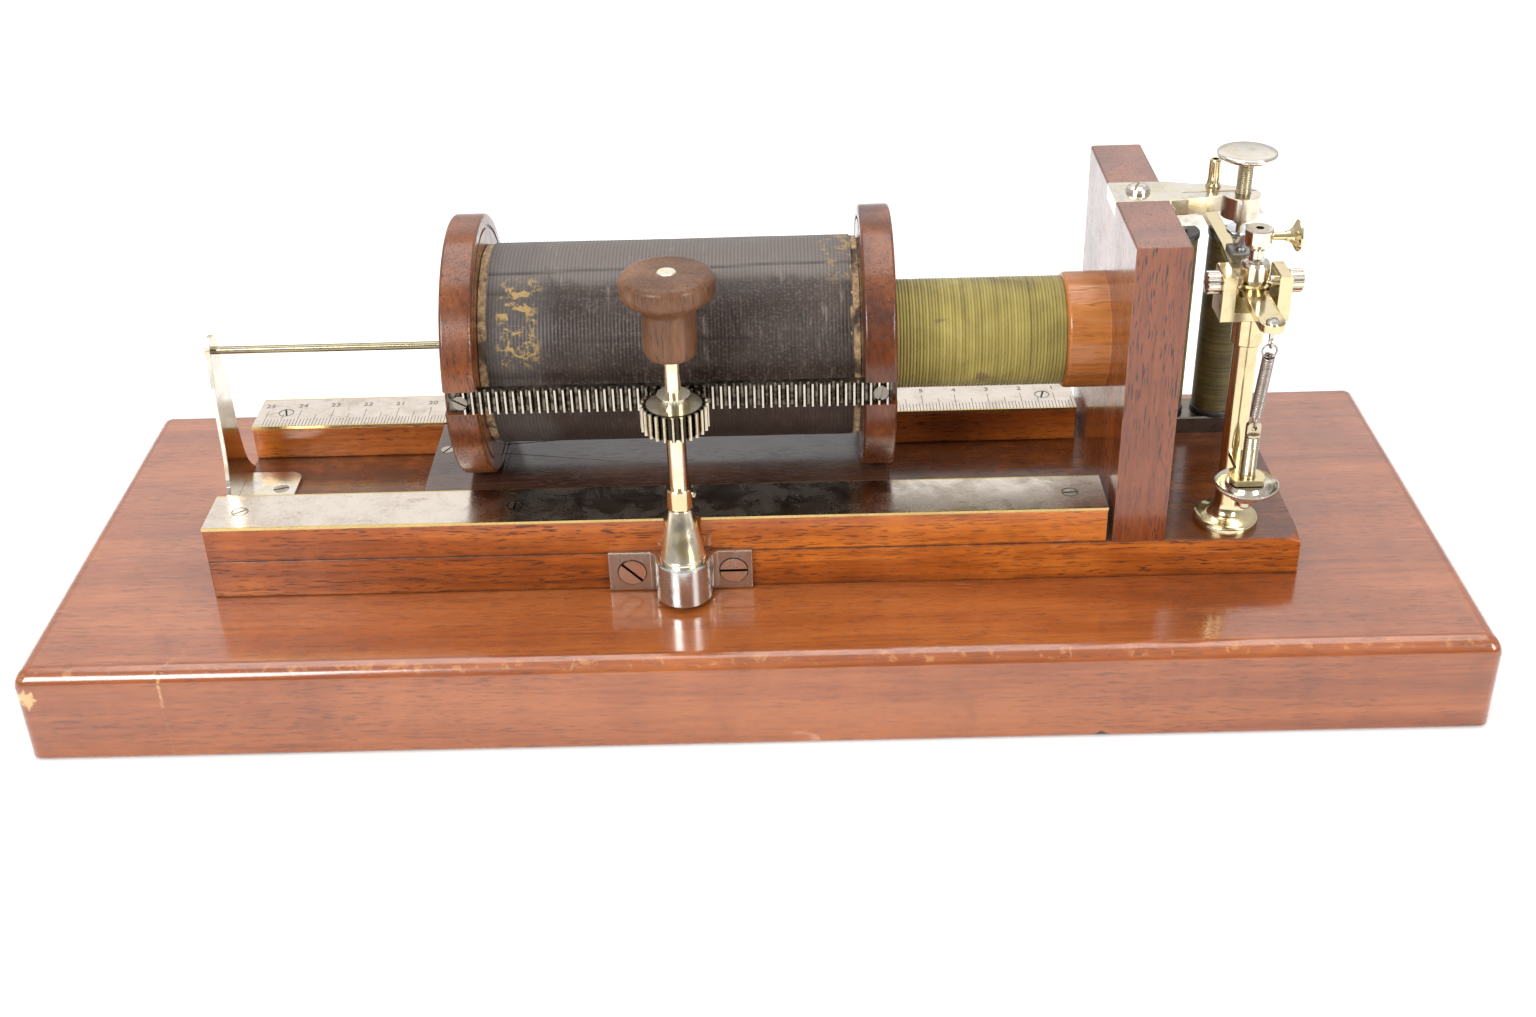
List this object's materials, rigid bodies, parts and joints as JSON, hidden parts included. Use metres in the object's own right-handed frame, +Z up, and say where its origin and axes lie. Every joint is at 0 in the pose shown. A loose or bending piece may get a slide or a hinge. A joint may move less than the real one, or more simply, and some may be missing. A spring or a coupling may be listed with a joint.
{
  "type": "sledge induction coil",
  "caption": "Sledge induction coil: a wound coil slides on rails over a fixed one, moved by a rack and a knobbed pinion, with a hammer contact breaker.",
  "frame": {"origin": "middle of the base board's underside", "axes": "+X along the rails towards the contact breaker, +Y to the back, away from the knob, +Z up"},
  "size_m": [0.396, 0.147, 0.1387],
  "materials": {
    "mahogany": "french polished, scratched",
    "walnut": "turned and polished",
    "dark_wood": "dark polish",
    "brass": "polished, lightly tarnished",
    "strip_brass": "silvered, worn",
    "steel": "bright steel",
    "iron": "soft iron",
    "green_silk": "silk-covered wire",
    "dark_silk": "silk-covered wire",
    "bookcloth": "ribbed glazed cloth",
    "card": "frayed paper",
    "black_cap": "ebonite"
  },
  "bodies": {
    "base": {"arm_post": "brass", "arm_screw": "brass", "base_board": "mahogany", "bearing_cone": "brass", "bed_board": "mahogany", "bracket_screw": "steel", "contact_arm": "brass", "fork": "brass", "front_rail": "mahogany", "front_strip": "strip_brass", "iron_core": "iron", "magnet_caps": "black_cap", "magnet_cores": "iron", "magnet_windings": "dark_silk", "magnet_yoke": "iron", "pillar": "brass", "pivot_screws": "steel", "primary_collar": "mahogany", "primary_end": "dark_wood", "primary_tube": "card", "primary_winding": "green_silk", "rear_rail": "mahogany", "rear_scale_strip": "strip_brass", "rod_bracket": "brass", "rod_nut": "brass", "spindle_bracket": "brass", "spindle_bracket_screws": "brass", "strip_screws": "brass", "support_rod": "brass", "tension_lug": "brass", "tension_spring": "steel", "upright_block": "mahogany"},
    "carriage": {"carriage_board": "dark_wood", "carriage_screw": "brass", "left_flange": "mahogany", "right_flange": "mahogany", "bobbin_tube": "card", "secondary_winding": "dark_silk", "coil_wrapper": "bookcloth", "edge_cards": "card", "rack": "brass", "rack_screws": "steel"},
    "spindle": {"pinion": "brass", "pinion_shaft": "steel", "shaft_collar": "brass", "set_screws": "steel", "knob": "walnut"},
    "hammer": {"lever": "brass", "armature": "iron", "contact_block": "steel", "block_screw": "brass", "contact_stud": "brass", "nose_hook": "steel", "binding_post": "brass"},
    "contact_shank": {"contact_screw": "brass"},
    "contact_knob": {"contact_screw_head": "brass"},
    "thumb_shank": {"thumbscrew_shank": "brass"},
    "thumb_knob": {"thumbscrew_head": "brass"},
    "adjuster_rod": {"tension_rod": "brass"},
    "adjuster_nut": {"tension_nut": "brass"}
  },
  "joints": [
    {"name": "carriage_slide", "type": "slide", "parent": "base", "child": "carriage", "axis": [1, 0, 0], "range_m": [-0.04, 0.046]},
    {"name": "pinion_spin", "type": "hinge", "parent": "base", "child": "spindle", "pos_m": [-0.0193, -0.0439, 0.085], "axis": [0, 0, 1], "range_deg": [-315, 274]},
    {"name": "hammer_rock", "type": "hinge", "parent": "base", "child": "hammer", "pos_m": [0.1322, -0.028, 0.1125], "axis": [1, 0, 0], "range_deg": [-1.3, 0], "stiffness_Nm_per_rad": 0.05, "springref_deg": 22.92, "deforming": ["tension_spring"]},
    {"name": "contact_feed", "type": "slide", "parent": "base", "child": "contact_shank", "axis": [0, 0, 1], "range_m": [0, 0.003]},
    {"name": "contact_turn", "type": "hinge", "parent": "contact_shank", "child": "contact_knob", "pos_m": [0.1337, -0.0024, 0.137], "axis": [0, 0, 1], "range_deg": [0, 2160]},
    {"name": "thumb_feed", "type": "slide", "parent": "hammer", "child": "thumb_shank", "axis": [1, 0, 0], "range_m": [-0.0003, 0.0015]},
    {"name": "thumb_turn", "type": "hinge", "parent": "thumb_shank", "child": "thumb_knob", "pos_m": [0.139, -0.028, 0.125], "axis": [1, 0, 0], "range_deg": [-1080, 216]},
    {"name": "tension_feed", "type": "slide", "parent": "base", "child": "adjuster_rod", "axis": [0, 0, 1], "range_m": [-0.002, 0.002], "deforming": ["tension_spring"]},
    {"name": "tension_turn", "type": "hinge", "parent": "base", "child": "adjuster_nut", "pos_m": [0.1322, -0.0445, 0.06], "axis": [0, 0, 1], "range_deg": [-1200, 1200]}
  ],
  "couplings": [
    {"joint": "pinion_spin", "follows": "carriage_slide", "rad_per_m": -119.05},
    {"joint": "contact_turn", "follows": "contact_feed", "rad_per_m": 12566},
    {"joint": "thumb_turn", "follows": "thumb_feed", "rad_per_m": -12566},
    {"joint": "tension_turn", "follows": "tension_feed", "rad_per_m": 10472}
  ]
}
